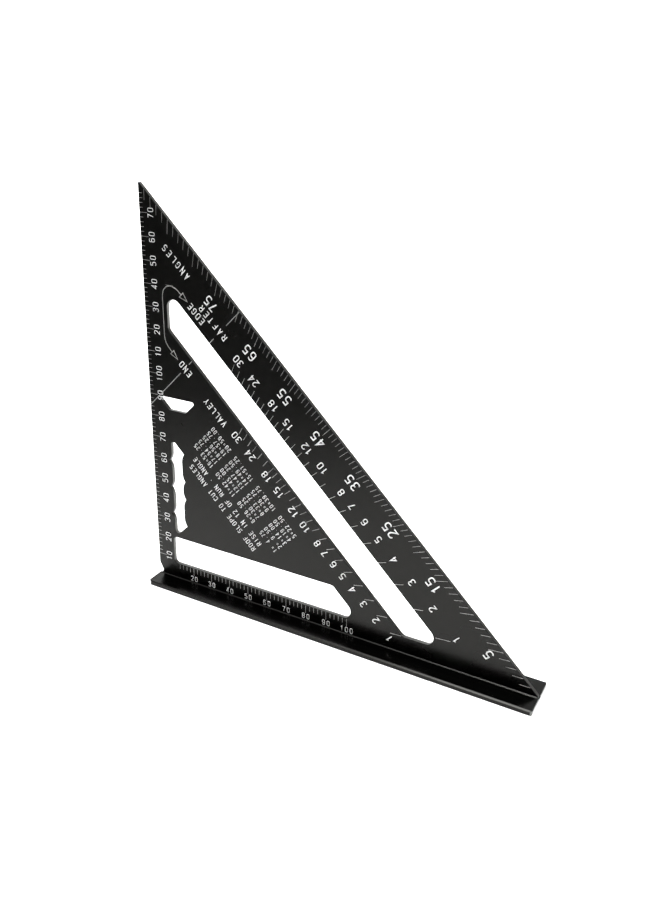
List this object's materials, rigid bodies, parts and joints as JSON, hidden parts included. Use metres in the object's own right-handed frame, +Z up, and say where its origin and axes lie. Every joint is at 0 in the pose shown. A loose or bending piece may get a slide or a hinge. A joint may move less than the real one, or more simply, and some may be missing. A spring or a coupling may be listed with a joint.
{
  "type": "speed square",
  "caption": "Flat triangular layout square: a right-angled metal blade with slots and openings, standing on edge in a low T-shaped fence.",
  "frame": {"origin": "centre of the fence's underside, the face the square stands on", "axes": "+X along the fence from the pivot corner to the blade's far tip, +Y away from the numbered face, +Z up along the blade's square edge"},
  "size_m": [0.1832, 0.02, 0.1845],
  "materials": {
    "blade_black": "black anodised aluminium plate, satin",
    "fence_black": "black anodised aluminium extrusion, satin",
    "white_marking": "matt white laser-marked scale lines and numerals"
  },
  "bodies": {
    "root": {"blade": "blade_black", "fence": "fence_black"}
  },
  "joints": []
}
